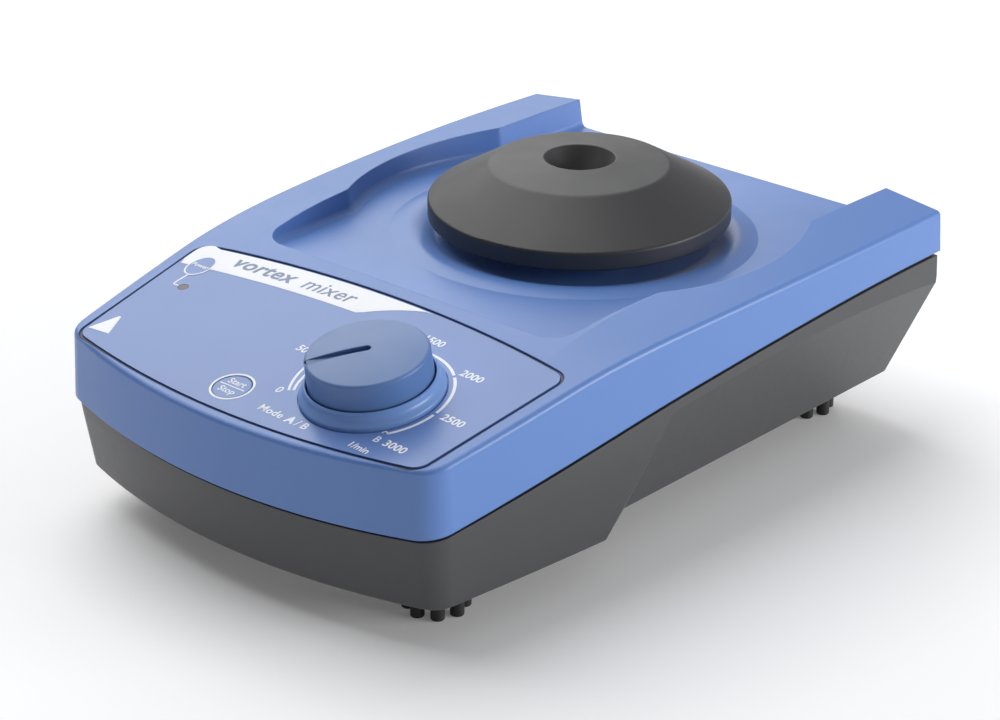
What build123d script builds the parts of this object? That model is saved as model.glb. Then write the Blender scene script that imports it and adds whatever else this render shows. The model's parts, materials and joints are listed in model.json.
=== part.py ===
"""Vortex mixer: an orbital tube shaker with a dished platform and a tilted control panel.

Millimetres, +Z up, front along -Y, origin on the table at the centre of the footprint.
"""

import os
from math import atan, cos, exp, log, radians, sin

from build123d import *

os.makedirs("parts", exist_ok=True)

# ---------------------------------------------------------------- housing
DEPTH = 205.0
REAR_Y = DEPTH / 2
FRONT_Y = -DEPTH / 2
FRONT_CORNER = (63.9, -92.0)
SIDE_BULGE = (73.75, 15.0)
REAR_CORNER_X = 73.9
CORNER_R = 9.0
REAR_DRAFT_SHIFT = 0.72
COVER_DRAFT = 2.4
COVER_WALL = 2.5
TOP_EDGE_R = 1.3

# Side profile of the joint between cover and tub, as (y, z).
SEAM = [(-112, 30.4), (-75, 35.5), (-45, 40.0), (-20, 43.6), (10, 46.7), (50, 49.3), (112, 48.8)]
SEAM_GAP = 1.3
TUB_INSET = 0.6
TUB_BOTTOM = 12.0
TUB_WALL = 3.0
TUB_FLOOR_TOP = TUB_BOTTOM + TUB_WALL
TUB_TOP = 54.0
TUB_KNEE_Z = 34.0
TUB_SIDE_LEAN = 0.085
TUB_FRONT_LEAN = 0.155
TUB_UPPER_LEAN = 0.042
COVER_REF_Z = 32.0
GASKET_INSET = (2.0, 3.4)

# Top surface: the panel's slope runs into a gently arched wing top that falls outward.
WING_TOP_Z = 64.2
WING_TOP_Y = 42.0
WING_ARCH = 0.00029
WING_BLEND = 0.45
WING_FALL = 0.13
PANEL_FALL = 0.02
FALL_START = -48.0
FALL_END = -12.0
STATION_STEP = 14.0
WING_INNER_X = 54.0
TOOL_HALF_WIDTH = 82.0

# ---------------------------------------------------------------- panel
PANEL_SLOPE = 0.169
PANEL_REF_Y = -60.0
PANEL_REF_Z = 56.26
PANEL_ANGLE = atan(PANEL_SLOPE)
PANEL = Plane(
    origin=(0, PANEL_REF_Y, PANEL_REF_Z),
    x_dir=(1, 0, 0),
    z_dir=(0, -sin(PANEL_ANGLE), cos(PANEL_ANGLE)),
)
PANEL_FRONT_V = -39.25
PANEL_FRONT_CORNER = (59.4, -32.6)
PANEL_REAR_CORNER = (63.75, 16.5)
PANEL_REAR_V = 22.7
PANEL_CORNER_R = 4.5
GROOVE_W = 0.9
GROOVE_DEPTH = 1.5
FOIL_T = 0.5

KNOB_POS = (26.5, -13.0)
KNOB_R = 15.5
KNOB_TOP = 11.0
KNOB_CROWN = 1.3
KNOB_BOTTOM = 2.4
COLLAR_IN_R = 15.95
COLLAR_OUT_R = 18.2
COLLAR_TOP = 4.3
SHAFT_R = 3.0
BUSHING_R = 3.5
POINTER_ANGLE = 230.0
POINTER_W = 2.3

KEY_POS = (-5.3, -29.9)
KEY_R = 5.0
KEY_GAP = 0.15
KEY_TRAVEL = 0.6
LIGHT_POS = (-51.7, -2.0)
LIGHT_R = 1.5

BOARD_TOP = -13.0
BOARD_T = 1.6
BOARD_HALF_W = 56.0
BOARD_V = (-32.0, 12.0)
BOARD_BOSSES = [(sx * 49.0, v) for sx in (-1, 1) for v in (-26.0, 8.0)]

# ---------------------------------------------------------------- tray and drive
TRAY_FRONT = -33.3
TRAY_SIDE_FRONT = (52.0, -36.0)
TRAY_KINK = (54.3, 3.0)
TRAY_ARC_MID_X = 62.9
TRAY_CREASE = (54.8, 66.0)
TRAY_REAR_X = 54.9
TRAY_CORNER_R = 6.0
TRAY_KINK_R = 6.0
TRAY_DRAFT = 7.0
TRAY_FOOT_R = 2.0
TRAY_REAR_Z = 54.6
TRAY_SLOPE = 0.0275

MOTOR_Y = 34.0
THROW = 2.25
PLATFORM_Y = MOTOR_Y + THROW
# Heights of the dish are measured from the tray floor at the motor axis.
LIP_R = 45.0
LIP_H = 0.9
LIP_FOOT_R = 51.5
RECESS_R = 37.5
RECESS_H = -1.2
NECK_R = 11.0
NECK_HOLE_R = 14.5
NECK_COLLAR_R = 16.5
NECK_COLLAR_H = 1.7

PLATE_Z = 38.0
PLATE_T = 3.0
PLATE_TOP = PLATE_Z + PLATE_T
PLATE_HALF = (49.0, 40.0)
PLATE_POSTS = [(sx * 42.0, MOTOR_Y + sy * 33.0) for sx in (-1, 1) for sy in (-1, 1)]
CAN_R = 28.0
CAN_BOTTOM = 17.0
CRANK_RING = 34.0
CRANKS = {
    "crank_rear": 90.0,
    "crank_left": 210.0,
    "crank_right": 330.0,
}
CRANK_PIN_R = 2.5
CRANK_TOP_PIN_R = 2.0
RUNNING = 0.05
CARRIER_Z = 48.0
CARRIER_T = 3.0
STUB_R = 7.0
STUB_FLAT = 6.0
STUB_TOP = 66.0

CAP_R = 41.1
CAP_RIM_BOTTOM = 60.9
CAP_RIM_TOP = 65.75
CAP_BREAK = (24.4, 75.3)
DIP_R = 9.75
DIP_TOP = 77.05
DIP_BOTTOM = 69.0

# ---------------------------------------------------------------- feet and screws
FEET = {
    "foot_front_left": (-43.6, -69.5),
    "foot_front_right": (43.6, -69.5),
    "foot_rear_left": (-43.6, 83.0),
    "foot_rear_right": (43.6, 83.0),
}
FOOT_PAD_R = 9.4
FOOT_PAD_Z = 7.5
FOOT_PIN_R = 1.8
FOOT_PIN_RING = 6.9
FOOT_PLUG_R = 5.0
CASE_SCREWS = [(sx * x, y) for sx in (-1, 1) for x, y in ((57.0, -42.0), (50.0, 58.0))]
CASE_POST_TOP = 34.0
POWER_PEGS = [(-25.0, 72.0), (25.0, 72.0)]
JACK_X = 34.0
JACK_Z = 27.0


def save(builder, label):
    """Label one finished piece and write it to its own file."""
    builder.part.label = label
    export_step(builder.part, f"parts/{label}.step")


def panel_point(u, v, h=0.0):
    """Place a point given along the panel (u right, v rearward) and off it (h)."""
    return PANEL.offset(h).from_local_coords(Vector(u, v, 0))


def panel_plane(u, v, h=0.0):
    """Panel-parallel plane centred on a panel point."""
    return Plane(origin=panel_point(u, v, h), x_dir=(1, 0, 0), z_dir=PANEL.z_dir)


def front_bow(half_width, side_y, front_y, bulge_x, mid_y, rear_x, rear_y):
    """Closed plan of the housing: bowed front, curved sides, straight rear."""
    with BuildLine(mode=Mode.PRIVATE) as plan:
        ThreePointArc((-half_width, side_y), (0, front_y), (half_width, side_y))
        ThreePointArc((half_width, side_y), (bulge_x, mid_y), (rear_x, rear_y))
        Line((rear_x, rear_y), (-rear_x, rear_y))
        ThreePointArc((-rear_x, rear_y), (-bulge_x, mid_y), (-half_width, side_y))
    return plan.line


def housing_plan(inset, front_shift=0.0, rear_shift=0.0):
    """Housing plan drawn in by an inset, with its front and rear edges moved as well."""
    x, y = FRONT_CORNER
    outline = front_bow(
        x - inset,
        y + inset + front_shift,
        FRONT_Y + inset + front_shift,
        SIDE_BULGE[0] - inset,
        SIDE_BULGE[1],
        REAR_CORNER_X - inset,
        REAR_Y - inset - rear_shift,
    )
    with BuildSketch(mode=Mode.PRIVATE) as plan:
        make_face(outline.edges())
        front_corners = [v for v in plan.vertices() if v.Y < 0]
        fillet(front_corners, radius=max(CORNER_R - inset, 2.0))
    return plan.sketch


# ---------------------------------------------------------------- shaping tools
def wing_inner_height(y):
    """Height of the top surface at the wing's inner edge."""
    panel = PANEL_REF_Z + PANEL_SLOPE * (y - PANEL_REF_Y)
    wing = WING_TOP_Z - WING_ARCH * (y - WING_TOP_Y) ** 2
    return -WING_BLEND * log(exp(-panel / WING_BLEND) + exp(-wing / WING_BLEND))


def wing_fall(y):
    """Outward fall of the top surface beyond the wing's inner edge."""
    t = min(max((y - FALL_START) / (FALL_END - FALL_START), 0.0), 1.0)
    return PANEL_FALL + (WING_FALL - PANEL_FALL) * t * t * (3 - 2 * t)


STATIONS = [i * STATION_STEP for i in range(-8, 9)]

with BuildPart() as top_tool:
    for station_y in STATIONS:
        inner_z = wing_inner_height(station_y)
        outer_z = inner_z - wing_fall(station_y) * (TOOL_HALF_WIDTH - WING_INNER_X)
        with BuildSketch(Plane.XZ.offset(-station_y)):
            with BuildLine():
                Polyline(
                    (-TOOL_HALF_WIDTH, 0),
                    (-TOOL_HALF_WIDTH, outer_z),
                    (-WING_INNER_X, inner_z),
                    (WING_INNER_X, inner_z),
                    (TOOL_HALF_WIDTH, outer_z),
                    (TOOL_HALF_WIDTH, 0),
                    close=True,
                )
            make_face()
    loft()

with BuildPart() as below_seam:
    with BuildSketch(Plane.YZ):
        with BuildLine():
            Spline(*SEAM)
            Polyline(SEAM[-1], (SEAM[-1][0], -5), (SEAM[0][0], -5), SEAM[0])
        make_face()
    extrude(amount=TOOL_HALF_WIDTH, both=True)

# Material outside each sloped hand-hold flank.
FLANK_BOTTOM_X = 60.6
FLANK_SLOPE = 0.385
FLANK_YAW = 0.9
FLANK_A = Vector(67.3, -33.0, 10.5)
FLANK_B = Vector(60.2, -16.6, 12.0)
FLANK_C = Vector(70.2, -12.0, 37.2)
flank_normal = (FLANK_C - FLANK_A).cross(FLANK_B - FLANK_A)
if flank_normal.Y < 0:
    flank_normal = flank_normal * -1

with BuildPart() as flank:
    with BuildSketch(Plane.XZ.offset(80)):
        with BuildLine():
            Polyline(
                (FLANK_BOTTOM_X - 4 * FLANK_SLOPE, TUB_BOTTOM - 4),
                (FLANK_BOTTOM_X + 36 * FLANK_SLOPE, TUB_BOTTOM + 36),
                (90, TUB_BOTTOM + 36),
                (90, TUB_BOTTOM - 4),
                close=True,
            )
        make_face()
    extrude(amount=-220)
    split(bisect_by=Plane(origin=FLANK_A, z_dir=flank_normal), keep=Keep.TOP)

flank_right = flank.part.rotate(Axis((FLANK_BOTTOM_X, 0, 0), (0, 0, 1)), -FLANK_YAW)
flank_left = flank_right.mirror(Plane.YZ)

# ---------------------------------------------------------------- tray
tray_floor = Plane(
    origin=(0, REAR_Y, TRAY_REAR_Z),
    x_dir=(1, 0, 0),
    z_dir=(0, TRAY_SLOPE, 1),
)
TRAY_TOOL_Z = 50.0
TRAY_EDGE_Z = 63.5


def tray_plan(grow):
    """Plan of the tray pocket, grown outward, running out past the rear edge."""
    with BuildLine(mode=Mode.PRIVATE) as plan:
        fx, fy = TRAY_SIDE_FRONT[0] + grow, TRAY_FRONT - grow
        kx, ky = TRAY_KINK[0] + grow, TRAY_KINK[1]
        cx, cy = TRAY_CREASE[0] + grow, TRAY_CREASE[1]
        mid_x, mid_y = TRAY_ARC_MID_X + grow, (ky + cy) / 2
        end_x, end_y = TRAY_REAR_X + grow, REAR_Y + 14
        Polyline((-kx, ky), (-fx, fy), (fx, fy), (kx, ky))
        ThreePointArc((kx, ky), (mid_x, mid_y), (cx, cy))
        Polyline((cx, cy), (end_x, end_y), (-end_x, end_y), (-cx, cy))
        ThreePointArc((-cx, cy), (-mid_x, mid_y), (-kx, ky))
    return plan.line


with BuildPart() as tray:
    shrink = (TRAY_EDGE_Z - TRAY_TOOL_Z) * sin(radians(TRAY_DRAFT))
    with BuildSketch(Plane.XY.offset(TRAY_TOOL_Z)):
        with BuildLine():
            add(tray_plan(-shrink))
        make_face()
        corners = [v for v in vertices() if v.Y < TRAY_FRONT + 5]
        fillet(corners, radius=TRAY_CORNER_R)
        kinks = [v for v in vertices() if abs(abs(v.X) - TRAY_KINK[0] + shrink) < 0.9 and 0 < v.Y < 70]
        fillet(kinks, radius=TRAY_KINK_R)
    extrude(amount=30, taper=-TRAY_DRAFT)
    split(bisect_by=tray_floor, keep=Keep.TOP)
    foot = faces().sort_by(Axis.Z)[0].edges().filter_by(lambda e: e.center().Y < REAR_Y + 10)
    fillet(foot, radius=TRAY_FOOT_R)

with BuildPart() as tray_backing:
    with BuildSketch(Plane.XY.offset(20)):
        with BuildLine():
            add(tray_plan(COVER_WALL - 0.3))
        make_face()
    extrude(amount=60)
    split(bisect_by=tray_floor.offset(-COVER_WALL), keep=Keep.TOP)


# ---------------------------------------------------------------- top cover
floor_point = Vector(0, MOTOR_Y, TRAY_REAR_Z + TRAY_SLOPE * (REAR_Y - MOTOR_Y))
dish_section = Plane(
    origin=floor_point,
    x_dir=(1, 0, 0),
    z_dir=(0, -tray_floor.z_dir.Z, tray_floor.z_dir.Y),
)

with BuildPart() as tray_dish:
    with BuildSketch(dish_section):
        with BuildLine():
            Polyline((NECK_HOLE_R - 1, RECESS_H - COVER_WALL), (NECK_HOLE_R - 1, NECK_COLLAR_H))
            Line((NECK_HOLE_R - 1, NECK_COLLAR_H), (NECK_COLLAR_R, NECK_COLLAR_H))
            Polyline((NECK_COLLAR_R, NECK_COLLAR_H), (NECK_COLLAR_R, RECESS_H), (RECESS_R, RECESS_H))
            Spline(
                (RECESS_R, RECESS_H),
                (RECESS_R + 1.2, RECESS_H + 0.4),
                (LIP_R - 3.5, LIP_H - 0.6),
                (LIP_R, LIP_H),
                (LIP_R + 2.5, LIP_H - 0.4),
                (LIP_R + 4.5, 0.1),
                (LIP_FOOT_R, -0.3),
                tangents=((1, 0), (1, -0.1)),
            )
            Polyline(
                (LIP_FOOT_R, -0.3),
                (LIP_FOOT_R, RECESS_H - COVER_WALL),
                (NECK_HOLE_R - 1, RECESS_H - COVER_WALL),
            )
        make_face()
    revolve(axis=Axis(floor_point, tray_floor.z_dir))

with BuildPart() as cover_void:
    with BuildSketch(Plane.XY.offset(20)):
        add(housing_plan(COVER_WALL))
    extrude(amount=60, taper=COVER_DRAFT)
    add(top_tool.part.moved(Location((0, 0, -COVER_WALL))), mode=Mode.INTERSECT)
    add(tray_backing.part, mode=Mode.SUBTRACT)
    with BuildSketch(PANEL.offset(-COVER_WALL - GROOVE_DEPTH + 0.3)):
        Rectangle(2 * TOOL_HALF_WIDTH, 75)
    extrude(amount=GROOVE_DEPTH + 6, mode=Mode.SUBTRACT)


def panel_outline(grow):
    """Outline of the control foil on the panel, grown outward."""
    fx, fv = PANEL_FRONT_CORNER
    rx, rv = PANEL_REAR_CORNER
    with BuildSketch(mode=Mode.PRIVATE) as outline:
        with BuildLine():
            ThreePointArc((-fx - grow, fv - grow), (0, PANEL_FRONT_V - grow), (fx + grow, fv - grow))
            Line((fx + grow, fv - grow), (rx + grow, rv + grow))
            ThreePointArc((rx + grow, rv + grow), (0, PANEL_REAR_V + grow), (-rx - grow, rv + grow))
            Line((-rx - grow, rv + grow), (-fx - grow, fv - grow))
        make_face()
        fillet(outline.vertices(), radius=PANEL_CORNER_R + grow)
    return outline.sketch


with BuildPart() as top_cover:
    with BuildSketch(Plane.XY.offset(COVER_REF_Z)):
        add(housing_plan(0.0, rear_shift=-REAR_DRAFT_SHIFT))
    extrude(amount=50, taper=COVER_DRAFT)
    with BuildSketch(Plane.XY.offset(COVER_REF_Z)):
        add(housing_plan(0.0, rear_shift=-REAR_DRAFT_SHIFT))
    extrude(amount=-4)
    add(top_tool.part, mode=Mode.INTERSECT)
    add(below_seam.part, mode=Mode.SUBTRACT)
    top_faces = [f for f in faces() if f.normal_at(f.center()).Z > 0.8]
    rim = [
        e
        for e in edges()
        if 45 < e.center().Z and e.center().Y < REAR_Y - 5 and sum(e in f.edges() for f in top_faces) == 1
    ]
    fillet(rim, radius=TOP_EDGE_R)
    add(cover_void.part, mode=Mode.SUBTRACT)
    add(tray.part, mode=Mode.SUBTRACT)
    # Recess under the platform, with the soft lip round it and the collar round the drive.
    with BuildSketch(Plane(origin=floor_point, x_dir=(1, 0, 0), z_dir=tray_floor.z_dir).offset(RECESS_H)):
        Circle(LIP_R)
    extrude(amount=6, mode=Mode.SUBTRACT)
    add(tray_dish.part)
    with BuildSketch(Plane.XY.offset(floor_point.Z - 8)):
        with Locations((0, MOTOR_Y)):
            Circle(NECK_HOLE_R)
    extrude(amount=14, mode=Mode.SUBTRACT)
    # Panel: shallow seat for the foil, with a deeper groove round its edge.
    with BuildSketch(PANEL.offset(-FOIL_T)):
        add(panel_outline(GROOVE_W / 2))
    extrude(amount=6, mode=Mode.SUBTRACT)
    with BuildSketch(PANEL.offset(-GROOVE_DEPTH)):
        add(panel_outline(GROOVE_W / 2))
        add(panel_outline(-GROOVE_W / 2), mode=Mode.SUBTRACT)
    extrude(amount=GROOVE_DEPTH, mode=Mode.SUBTRACT)
    # Bosses for the board and for the case screws.
    with BuildSketch(PANEL.offset(BOARD_TOP)):
        with Locations(*BOARD_BOSSES):
            Circle(3.5)
    extrude(until=Until.NEXT)
    with BuildSketch(PANEL.offset(BOARD_TOP)):
        with Locations(*BOARD_BOSSES):
            Circle(1.25)
    extrude(amount=9, mode=Mode.SUBTRACT)
    with BuildSketch(Plane.XY.offset(CASE_POST_TOP + 0.2)):
        with Locations(*CASE_SCREWS):
            Circle(4.5)
    extrude(until=Until.NEXT)
    with BuildSketch(Plane.XY.offset(CASE_POST_TOP + 0.2)):
        with Locations(*CASE_SCREWS):
            Circle(1.55)
    extrude(amount=12, mode=Mode.SUBTRACT)
    # Openings for the control shaft, the key and the lamp.
    with BuildSketch(PANEL.offset(-12)):
        with Locations(KNOB_POS):
            Circle(BUSHING_R + 0.1)
        with Locations(KEY_POS):
            Circle(KEY_R + KEY_GAP)
        with Locations(LIGHT_POS):
            Circle(LIGHT_R + 0.05)
    extrude(amount=14, mode=Mode.SUBTRACT)
save(top_cover, "top_cover")

# ---------------------------------------------------------------- tub
FLANKS = [flank_right, flank_left]


def tub_section(z, inset):
    """Plan of the tub at one height, drawn in both below and above the knee."""
    drop = TUB_KNEE_Z - z
    lean = TUB_SIDE_LEAN * drop if drop > 0 else -TUB_UPPER_LEAN * drop
    front = (TUB_FRONT_LEAN - TUB_SIDE_LEAN) * drop if drop > 0 else 0.0
    return housing_plan(inset + lean, front_shift=front, rear_shift=-lean)


REAR_KNEE_Z = 42.0
REAR_LEAN = 0.225

with BuildPart() as rear_undercut:
    with BuildSketch(Plane.YZ):
        with BuildLine():
            knee_y = REAR_Y - TUB_INSET
            Polyline(
                (knee_y, REAR_KNEE_Z),
                (knee_y - (REAR_KNEE_Z - 4) * REAR_LEAN, 4),
                (knee_y + 20, 4),
                (knee_y + 20, REAR_KNEE_Z),
                close=True,
            )
        make_face()
    extrude(amount=TOOL_HALF_WIDTH, both=True)

with BuildPart() as tub_void:
    for z in (TUB_FLOOR_TOP, TUB_KNEE_Z, TUB_TOP + 2):
        with BuildSketch(Plane.XY.offset(z)):
            add(tub_section(z, TUB_INSET + TUB_WALL))
    loft(ruled=True)
    for side, tool in ((-1, flank_right), (1, flank_left)):
        add(tool.moved(Location((side * TUB_WALL * 1.1, 0, 0))), mode=Mode.SUBTRACT)
    add(rear_undercut.part.moved(Location((0, -TUB_WALL, 0))), mode=Mode.SUBTRACT)

with BuildPart() as base_housing:
    for z in (TUB_BOTTOM, TUB_KNEE_Z, TUB_TOP):
        with BuildSketch(Plane.XY.offset(z)):
            add(tub_section(z, TUB_INSET))
    loft(ruled=True)
    knee = [e for e in edges() if abs(e.center().Z - TUB_KNEE_Z) < 0.1 and e.center().Y < REAR_Y - 5]
    fillet(knee, radius=60)
    for tool in FLANKS:
        add(tool, mode=Mode.SUBTRACT)
    add(rear_undercut.part, mode=Mode.SUBTRACT)
    bottom_edges = faces().sort_by(Axis.Z)[0].edges()
    fillet(bottom_edges, radius=0.8)
    add(tub_void.part, mode=Mode.SUBTRACT)
    add(below_seam.part.moved(Location((0, 0, -SEAM_GAP))), mode=Mode.INTERSECT)
    # Posts for the case screws and for the chassis plate.
    with BuildSketch(Plane.XY.offset(TUB_BOTTOM)):
        with Locations(*CASE_SCREWS):
            Circle(4.8)
    extrude(amount=CASE_POST_TOP - TUB_BOTTOM)
    with BuildSketch(Plane.XY.offset(TUB_FLOOR_TOP)):
        with Locations(*PLATE_POSTS):
            Circle(4.5)
    extrude(amount=PLATE_Z - TUB_FLOOR_TOP)
    with BuildSketch(Plane.XY.offset(TUB_BOTTOM)):
        with Locations(*CASE_SCREWS):
            Circle(1.7)
    extrude(amount=CASE_POST_TOP, mode=Mode.SUBTRACT)
    with BuildSketch(Plane.XY.offset(TUB_BOTTOM)):
        with Locations(*CASE_SCREWS):
            Circle(3.6)
    extrude(amount=5, mode=Mode.SUBTRACT)
    with BuildSketch(Plane.XY.offset(PLATE_Z)):
        with Locations(*PLATE_POSTS):
            Circle(1.55)
    extrude(amount=-10, mode=Mode.SUBTRACT)
    # Seats for the feet.
    with BuildSketch(Plane.XY.offset(TUB_BOTTOM)):
        with Locations(*FEET.values()):
            Circle(FOOT_PLUG_R)
    extrude(amount=TUB_WALL, mode=Mode.SUBTRACT)
    # Pegs for the driver board and the ballast, and the supply inlet.
    with BuildSketch(Plane.XY.offset(TUB_FLOOR_TOP)):
        with Locations(*POWER_PEGS):
            Circle(2.8)
            Circle(1.25, mode=Mode.SUBTRACT)
    extrude(amount=5)
    with BuildSketch(Plane.XZ.offset(-REAR_Y + 20)):
        with Locations((JACK_X, JACK_Z)):
            Circle(4.6)
    extrude(amount=-22, mode=Mode.SUBTRACT)
save(base_housing, "base_housing")

with BuildPart() as seam_gasket:
    with BuildSketch(Plane.XY.offset(24)):
        add(housing_plan(GASKET_INSET[0]))
        add(housing_plan(GASKET_INSET[1]), mode=Mode.SUBTRACT)
    extrude(amount=30)
    add(below_seam.part.moved(Location((0, 0, -0.02))), mode=Mode.INTERSECT)
    add(below_seam.part.moved(Location((0, 0, -SEAM_GAP + 0.02))), mode=Mode.SUBTRACT)
save(seam_gasket, "seam_gasket")

# ---------------------------------------------------------------- control panel
with BuildPart() as control_foil:
    with BuildSketch(PANEL.offset(-FOIL_T + 0.02)):
        add(panel_outline(-GROOVE_W / 2))
        with Locations(KNOB_POS):
            Circle(COLLAR_OUT_R + 0.35, mode=Mode.SUBTRACT)
        with Locations(KEY_POS):
            Circle(KEY_R + KEY_GAP, mode=Mode.SUBTRACT)
        with Locations(LIGHT_POS):
            Circle(LIGHT_R + 0.05, mode=Mode.SUBTRACT)
    extrude(amount=FOIL_T - 0.02)
save(control_foil, "control_foil")

with BuildPart() as panel_gasket:
    with BuildSketch(PANEL.offset(-GROOVE_DEPTH + 0.02)):
        add(panel_outline(GROOVE_W / 2 - 0.08))
        add(panel_outline(-GROOVE_W / 2 + 0.08), mode=Mode.SUBTRACT)
    extrude(amount=GROOVE_DEPTH - 0.45)
save(panel_gasket, "panel_gasket")


def panel_axis(u, v):
    """Axis standing on the panel at a point."""
    return Axis(panel_point(u, v), PANEL.z_dir)


knob_section = Plane(origin=panel_point(*KNOB_POS), x_dir=(1, 0, 0), z_dir=-PANEL.y_dir)

with BuildPart() as knob_collar:
    with BuildSketch(knob_section):
        with BuildLine():
            Polyline(
                (COLLAR_IN_R, COLLAR_TOP - 0.3),
                (COLLAR_IN_R, -FOIL_T + 0.02),
                (COLLAR_OUT_R, -FOIL_T + 0.02),
            )
            Line((COLLAR_OUT_R, -FOIL_T + 0.02), (COLLAR_OUT_R, 0.7))
            Spline(
                (COLLAR_OUT_R, 0.7),
                (COLLAR_OUT_R - 0.5, 1.5),
                (COLLAR_OUT_R - 1.2, 2.3),
                (COLLAR_OUT_R - 1.45, COLLAR_TOP - 0.4),
                tangents=((0, 1), (0, 1)),
            )
            Line((COLLAR_OUT_R - 1.45, COLLAR_TOP - 0.4), (COLLAR_OUT_R - 1.8, COLLAR_TOP))
            Polyline(
                (COLLAR_OUT_R - 1.8, COLLAR_TOP),
                (COLLAR_IN_R + 0.2, COLLAR_TOP),
                (COLLAR_IN_R, COLLAR_TOP - 0.3),
            )
        make_face()
    revolve(axis=panel_axis(*KNOB_POS))
save(knob_collar, "knob_collar")

with BuildPart() as knob:
    with BuildSketch(knob_section) as knob_profile:
        with BuildLine():
            Polyline(
                (SHAFT_R, KNOB_TOP - 1.0),
                (SHAFT_R, KNOB_BOTTOM + 0.6),
                (SHAFT_R + 2.2, KNOB_BOTTOM + 0.6),
                (SHAFT_R + 2.2, KNOB_TOP - 2.2),
                (KNOB_R - 2.0, KNOB_TOP - 2.2),
                (KNOB_R - 2.0, KNOB_BOTTOM),
                (KNOB_R + 0.1, KNOB_BOTTOM),
                (KNOB_R - 0.1, KNOB_TOP),
            )
            ThreePointArc(
                (KNOB_R - 0.1, KNOB_TOP),
                (KNOB_R / 2, KNOB_TOP + KNOB_CROWN * 0.75),
                (0, KNOB_TOP + KNOB_CROWN),
            )
            Polyline((0, KNOB_TOP + KNOB_CROWN), (0, KNOB_TOP - 1.0), (SHAFT_R, KNOB_TOP - 1.0))
        make_face()
        rim_corner = [v for v in knob_profile.vertices() if abs(v.X - KNOB_R + 0.1) < 0.01]
        fillet(rim_corner, radius=0.8)
    revolve(axis=panel_axis(*KNOB_POS))
    with BuildSketch(panel_plane(*KNOB_POS, KNOB_TOP - 0.5)):
        with Locations(Rotation(0, 0, POINTER_ANGLE) * Pos(KNOB_R / 2 + 0.5, 0)):
            Rectangle(KNOB_R + 1, POINTER_W)
        Circle(POINTER_W / 2)
    extrude(amount=3, mode=Mode.SUBTRACT)
save(knob, "knob")

with BuildPart() as knob_pointer:
    with BuildSketch(panel_plane(*KNOB_POS, KNOB_TOP - 0.5)):
        with Locations(Rotation(0, 0, POINTER_ANGLE) * Pos(KNOB_R / 2 - 0.4, 0)):
            Rectangle(KNOB_R - 0.8, POINTER_W - 0.04)
        Circle(POINTER_W / 2 - 0.02)
    extrude(amount=0.6)
save(knob_pointer, "knob_pointer")

POT_TOP = -4.6
with BuildPart() as knob_shaft:
    with BuildSketch(panel_plane(*KNOB_POS, POT_TOP - 4)):
        Circle(SHAFT_R - 0.02)
    extrude(amount=KNOB_TOP - 1.1 - POT_TOP + 4)
save(knob_shaft, "knob_shaft")

with BuildPart() as speed_potentiometer:
    with BuildSketch(panel_plane(*KNOB_POS, BOARD_TOP + 0.02)):
        RectangleRounded(17, 17, 1.2)
    extrude(amount=POT_TOP - BOARD_TOP - 0.02)
    with BuildSketch(panel_plane(*KNOB_POS, POT_TOP)):
        Circle(BUSHING_R)
    extrude(amount=-POT_TOP + 2.0)
    with BuildSketch(panel_plane(*KNOB_POS, POT_TOP - 4.3)):
        Circle(SHAFT_R + RUNNING)
    extrude(amount=12, mode=Mode.SUBTRACT)
save(speed_potentiometer, "speed_potentiometer")

with BuildPart() as potentiometer_nut:
    with BuildSketch(panel_plane(*KNOB_POS, -FOIL_T + 0.02)):
        RegularPolygon(5.2, 6)
        Circle(BUSHING_R + 0.03, mode=Mode.SUBTRACT)
    extrude(amount=2.0)
save(potentiometer_nut, "potentiometer_nut")

KEY_STEM_BOTTOM = -7.4
with BuildPart() as start_stop_key:
    with BuildSketch(panel_plane(*KEY_POS, -1.6)):
        Circle(KEY_R)
    extrude(amount=1.6)
    with BuildSketch(panel_plane(*KEY_POS, KEY_STEM_BOTTOM)):
        Circle(2.0)
    extrude(amount=-KEY_STEM_BOTTOM - 1.6)
    fillet(edges().filter_by(GeomType.CIRCLE).sort_by(Axis.Z)[-1], radius=0.25)
save(start_stop_key, "start_stop_key")

with BuildPart() as key_switch:
    with BuildSketch(panel_plane(*KEY_POS, BOARD_TOP + 0.02)):
        RectangleRounded(6.2, 6.2, 0.5)
    extrude(amount=3.6)
    with BuildSketch(panel_plane(*KEY_POS, BOARD_TOP + 3.6)):
        Circle(1.7)
    extrude(amount=KEY_STEM_BOTTOM - KEY_TRAVEL - 0.2 - BOARD_TOP - 3.6)
save(key_switch, "key_switch")

with BuildPart() as power_light_pipe:
    with BuildSketch(panel_plane(*LIGHT_POS, BOARD_TOP + 1.4)):
        Circle(LIGHT_R)
    extrude(amount=-BOARD_TOP - 1.4 - 0.05)
    with BuildSketch(panel_plane(*LIGHT_POS, BOARD_TOP + 0.02)):
        Rectangle(3.4, 3.0)
    extrude(amount=1.5)
save(power_light_pipe, "power_light_pipe")

with BuildPart() as control_board:
    with BuildSketch(PANEL.offset(BOARD_TOP - BOARD_T)) as board_plan:
        with Locations((0, (BOARD_V[0] + BOARD_V[1]) / 2)):
            RectangleRounded(2 * BOARD_HALF_W, BOARD_V[1] - BOARD_V[0], 3)
        with Locations(*BOARD_BOSSES):
            Circle(1.7, mode=Mode.SUBTRACT)
    extrude(amount=BOARD_T - 0.02)
    with BuildSketch(PANEL.offset(BOARD_TOP - 0.02)):
        for x, y, w, d in ((-30, -8, 10, 10), (-18, 2, 7, 4), (-34, -22, 5, 8), (6, 4, 8, 4)):
            with Locations((x, y)):
                Rectangle(w, d)
    extrude(amount=1.6)
save(control_board, "control_board")


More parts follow.
